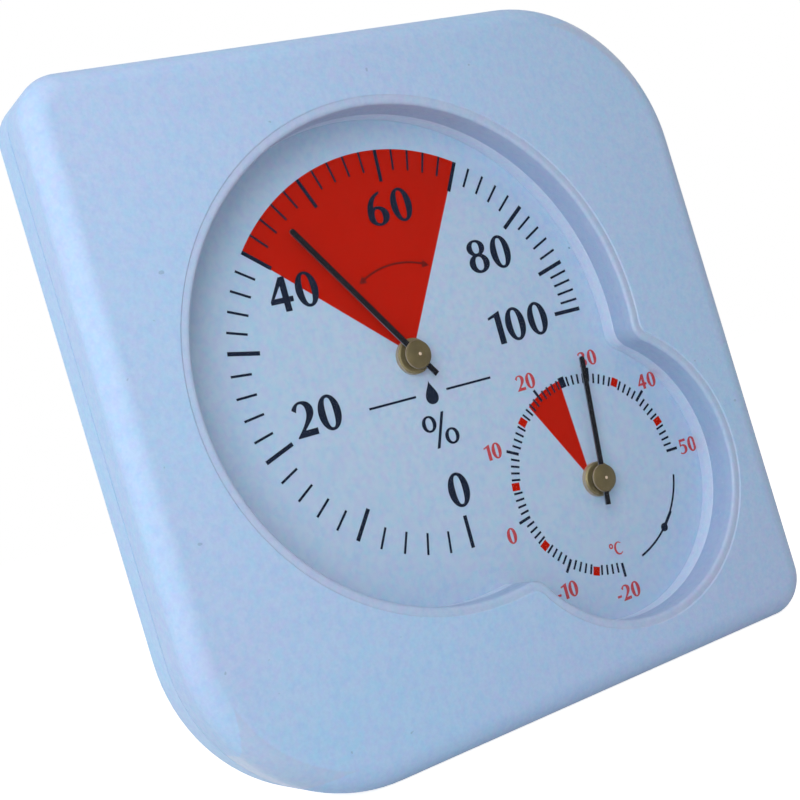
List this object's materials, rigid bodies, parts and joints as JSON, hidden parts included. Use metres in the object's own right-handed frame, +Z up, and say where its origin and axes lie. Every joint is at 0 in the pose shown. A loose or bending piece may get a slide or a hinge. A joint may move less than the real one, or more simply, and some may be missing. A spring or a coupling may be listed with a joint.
{
  "type": "dial thermo-hygrometer",
  "caption": "Square moulded case with a clear-covered figure-of-eight dial, a coil hygrometer and a coil thermometer with pointers, hanging hole and fold-out stand.",
  "frame": {"origin": "middle of the bounding box in plan, on the plane that the lower edge of the case stands on", "axes": "+Z up along the dial, -Y towards the reader, +X to the reader's right"},
  "size_m": [0.13, 0.024, 0.13],
  "materials": {
    "case_plastic": "satin moulded polystyrene, cool white",
    "cover_plastic": "fine-grained moulded polystyrene, cool white",
    "clear_plastic": "clear polished polystyrene",
    "dial_plastic": "white moulded polystyrene",
    "printed_card": "white card printed in black and red",
    "black_pointer": "black lacquered aluminium strip",
    "turned_brass": "turned, slightly tarnished",
    "sheet_brass": "stamped sheet",
    "shaft_steel": "drawn wire, bright",
    "bracket_steel": "zinc-plated sheet",
    "screw_steel": "zinc-plated",
    "hygro_strip": "thin bronze strip with a moisture-sensitive coating",
    "bimetal_strip": "rolled bimetal strip"
  },
  "bodies": {
    "case": {"front_housing": "case_plastic", "lens": "clear_plastic", "dial_plate": "dial_plastic", "dial_card": "printed_card", "dial_screws": "screw_steel", "rear_cover": "cover_plastic", "cover_screws": "screw_steel", "stand_pin": "screw_steel", "hygro_bush": "turned_brass", "hygro_bracket": "bracket_steel", "hygro_bracket_screws": "screw_steel", "thermo_bush": "turned_brass", "thermo_bracket": "bracket_steel", "thermo_bracket_screws": "screw_steel"},
    "hygro_trim": {"hygro_regulator": "sheet_brass", "hygro_coil": "hygro_strip"},
    "hygro_hand": {"hygro_arbor": "shaft_steel", "hygro_pointer": "black_pointer", "hygro_hub_cap": "turned_brass", "hygro_collet": "turned_brass"},
    "thermo_trim": {"thermo_regulator": "sheet_brass", "thermo_coil": "bimetal_strip"},
    "thermo_hand": {"thermo_arbor": "shaft_steel", "thermo_pointer": "black_pointer", "thermo_hub_cap": "turned_brass", "thermo_collet": "turned_brass"},
    "stand": {"stand_leg": "cover_plastic"}
  },
  "joints": [
    {"name": "hygro_trim_turn", "type": "hinge", "parent": "case", "child": "hygro_trim", "pos_m": [-0.0033, 0.006, 0.0697], "axis": [0, -1, 0], "range_deg": [-10, 10]},
    {"name": "hygro_hand_turn", "type": "hinge", "parent": "hygro_trim", "child": "hygro_hand", "pos_m": [-0.0033, -0.0045, 0.0697], "axis": [0, -1, 0], "range_deg": [-123, 146], "stiffness_Nm_per_rad": 0.0005},
    {"name": "thermo_trim_turn", "type": "hinge", "parent": "case", "child": "thermo_trim", "pos_m": [0.0289, 0.006, 0.037], "axis": [0, -1, 0], "range_deg": [-10, 10]},
    {"name": "thermo_hand_turn", "type": "hinge", "parent": "thermo_trim", "child": "thermo_hand", "pos_m": [0.0289, -0.0045, 0.037], "axis": [0, -1, 0], "range_deg": [-83, 187], "stiffness_Nm_per_rad": 0.0005},
    {"name": "stand_turn", "type": "hinge", "parent": "case", "child": "stand", "pos_m": [0, 0.0105, 0.064], "axis": [1, 0, 0], "range_deg": [0, 40]}
  ]
}
